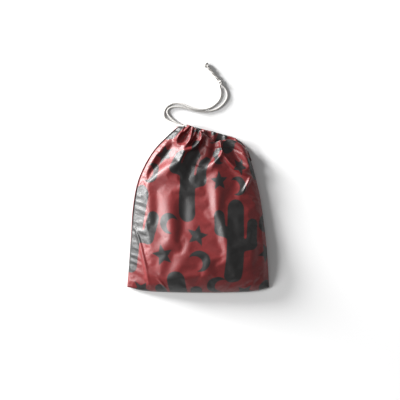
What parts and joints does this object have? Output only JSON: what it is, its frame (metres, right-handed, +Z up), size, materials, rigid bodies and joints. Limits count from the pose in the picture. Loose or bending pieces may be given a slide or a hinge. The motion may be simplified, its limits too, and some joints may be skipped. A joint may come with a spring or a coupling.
{
  "type": "kinchaku drawstring pouch",
  "caption": "Soft cloth pouch lying flat, its mouth gathered on a drawstring whose two strands leave one corner and are tied together.",
  "frame": {"origin": "on the surface the pouch lies on, under the middle of the pouch without its free cord", "axes": "+Y from the bottom seam towards the mouth, +X to the right of the front panel seen from above, +Z up from the back panel to the front panel"},
  "size_m": [0.2004, 0.3249, 0.0322],
  "materials": {
    "printed_cloth": "plain-woven cloth with a soft sheen and a black print on red",
    "cotton_cord": "matte off-white braided cotton"
  },
  "bodies": {
    "root": {"front_panel": "printed_cloth", "back_panel": "printed_cloth", "drawstring_in_casing": "cotton_cord", "drawstring_strand_back": "cotton_cord", "drawstring_strand_front": "cotton_cord", "tie_knot": "cotton_cord", "drawstring_tail_left": "cotton_cord", "drawstring_tail_right": "cotton_cord", "end_knot": "cotton_cord"}
  },
  "joints": []
}
